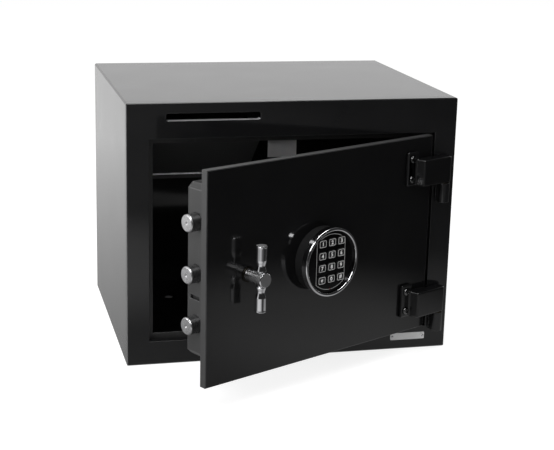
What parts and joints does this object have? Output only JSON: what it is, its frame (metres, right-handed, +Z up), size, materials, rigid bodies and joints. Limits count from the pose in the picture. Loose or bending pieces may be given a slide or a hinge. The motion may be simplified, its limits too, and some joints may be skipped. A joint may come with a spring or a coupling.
{
  "type": "deposit safe",
  "caption": "Steel deposit safe with a front drop slot and inner chute, an outside-hinged inset door standing ajar, live bolts thrown by a T-handle, and a round keypad.",
  "frame": {"origin": "middle of the underside of the body", "axes": "+X to the right as seen from the front, +Y towards the back, +Z up; the front face looks along -Y"},
  "size_m": [0.45, 0.546, 0.355],
  "materials": {
    "black_paint": "gloss black powder coat",
    "door_paint": "smooth gloss black enamel",
    "inner_paint": "satin black paint",
    "zinc_plate": "zinc plated",
    "bright_screw": "bright plated",
    "plate_metal": "bare satin aluminium, nothing printed",
    "bolt_steel": "turned and plated",
    "dark_steel": "plain steel",
    "brass": "turned",
    "lock_zinc": "die-cast zinc",
    "chrome": "polished chrome",
    "black_plastic": "fine moulded texture",
    "face_plastic": "smooth black",
    "key_rubber": "satin black with pale plain numbers",
    "board": "green board",
    "red_lens": "unlit red lens",
    "battery_skin": "plain wrap"
  },
  "bodies": {
    "body": {"body_wrap": "black_paint", "floor_plate": "black_paint", "back_plate": "black_paint", "front_frame": "black_paint", "stop_frame": "inner_paint", "strike_channel": "inner_paint", "chute_ramp": "inner_paint", "chute_cheek": "inner_paint", "chute_strap": "zinc_plate", "nameplate": "plate_metal", "nameplate_rivets": "bright_screw", "hinge_knuckle_upper": "black_paint", "hinge_knuckle_lower": "black_paint", "hinge_pins": "dark_steel", "hinge_washers": "brass"},
    "door": {"door_plate": "door_paint", "hinge_arm_upper": "black_paint", "hinge_arm_lower": "black_paint", "hinge_screws": "bright_screw", "handle_bush": "brass", "boltwork_housing": "inner_paint", "bolt_guide": "dark_steel", "housing_cover": "inner_paint", "cover_screws": "zinc_plate", "hardplate": "dark_steel", "lock_body": "lock_zinc", "lock_screws": "zinc_plate", "battery_tray": "black_plastic", "battery": "battery_skin", "keypad_base": "black_plastic", "keypad_bezel": "chrome", "keypad_face": "face_plastic", "keypad_board": "board", "keypad_screws": "zinc_plate", "status_light": "red_lens"},
    "boltwork": {"carriage": "dark_steel", "live_bolt_upper": "bolt_steel", "live_bolt_middle": "bolt_steel", "live_bolt_lower": "bolt_steel", "bolt_screws": "zinc_plate"},
    "handle": {"handle_hub": "chrome", "handle_bar": "chrome", "handle_spindle": "dark_steel", "cam_arm": "dark_steel", "drive_pin": "dark_steel"},
    "lock_bolt": {"lock_bolt": "brass"},
    "key_1": {"key_1": "key_rubber"},
    "key_2": {"key_2": "key_rubber"},
    "key_3": {"key_3": "key_rubber"},
    "key_4": {"key_4": "key_rubber"},
    "key_5": {"key_5": "key_rubber"},
    "key_6": {"key_6": "key_rubber"},
    "key_7": {"key_7": "key_rubber"},
    "key_8": {"key_8": "key_rubber"},
    "key_9": {"key_9": "key_rubber"},
    "key_clear": {"key_clear": "key_rubber"},
    "key_0": {"key_0": "key_rubber"},
    "key_enter": {"key_enter": "key_rubber"}
  },
  "joints": [
    {"name": "door_hinge", "type": "hinge", "parent": "body", "child": "door", "pos_m": [0.208, -0.19, 0.17], "axis": [0, 0, 1], "range_deg": [-27, 148]},
    {"name": "bolt_throw", "type": "slide", "parent": "door", "child": "boltwork", "axis": [-0.891, -0.454, 0], "range_m": [0, 0.018]},
    {"name": "handle_turn", "type": "hinge", "parent": "door", "child": "handle", "pos_m": [-0.08639, -0.35122, 0.1685], "axis": [0.454, -0.891, 0], "range_deg": [-0.5, 60.5]},
    {"name": "lock_bolt_slide", "type": "slide", "parent": "door", "child": "lock_bolt", "axis": [0, 0, 1], "range_m": [0, 0.008]},
    {"name": "press_key_1", "type": "slide", "parent": "door", "child": "key_1", "axis": [-0.454, 0.891, 0], "range_m": [0, 0.0008], "stiffness_N_per_m": 800, "springref_m": -0.0006},
    {"name": "press_key_2", "type": "slide", "parent": "door", "child": "key_2", "axis": [-0.454, 0.891, 0], "range_m": [0, 0.0008], "stiffness_N_per_m": 800, "springref_m": -0.0006},
    {"name": "press_key_3", "type": "slide", "parent": "door", "child": "key_3", "axis": [-0.454, 0.891, 0], "range_m": [0, 0.0008], "stiffness_N_per_m": 800, "springref_m": -0.0006},
    {"name": "press_key_4", "type": "slide", "parent": "door", "child": "key_4", "axis": [-0.454, 0.891, 0], "range_m": [0, 0.0008], "stiffness_N_per_m": 800, "springref_m": -0.0006},
    {"name": "press_key_5", "type": "slide", "parent": "door", "child": "key_5", "axis": [-0.454, 0.891, 0], "range_m": [0, 0.0008], "stiffness_N_per_m": 800, "springref_m": -0.0006},
    {"name": "press_key_6", "type": "slide", "parent": "door", "child": "key_6", "axis": [-0.454, 0.891, 0], "range_m": [0, 0.0008], "stiffness_N_per_m": 800, "springref_m": -0.0006},
    {"name": "press_key_7", "type": "slide", "parent": "door", "child": "key_7", "axis": [-0.454, 0.891, 0], "range_m": [0, 0.0008], "stiffness_N_per_m": 800, "springref_m": -0.0006},
    {"name": "press_key_8", "type": "slide", "parent": "door", "child": "key_8", "axis": [-0.454, 0.891, 0], "range_m": [0, 0.0008], "stiffness_N_per_m": 800, "springref_m": -0.0006},
    {"name": "press_key_9", "type": "slide", "parent": "door", "child": "key_9", "axis": [-0.454, 0.891, 0], "range_m": [0, 0.0008], "stiffness_N_per_m": 800, "springref_m": -0.0006},
    {"name": "press_key_clear", "type": "slide", "parent": "door", "child": "key_clear", "axis": [-0.454, 0.891, 0], "range_m": [0, 0.0008], "stiffness_N_per_m": 800, "springref_m": -0.0006},
    {"name": "press_key_0", "type": "slide", "parent": "door", "child": "key_0", "axis": [-0.454, 0.891, 0], "range_m": [0, 0.0008], "stiffness_N_per_m": 800, "springref_m": -0.0006},
    {"name": "press_key_enter", "type": "slide", "parent": "door", "child": "key_enter", "axis": [-0.454, 0.891, 0], "range_m": [0, 0.0008], "stiffness_N_per_m": 800, "springref_m": -0.0006}
  ],
  "couplings": [
    {"joint": "handle_turn", "follows": "bolt_throw", "rad_per_m": 58.178}
  ]
}
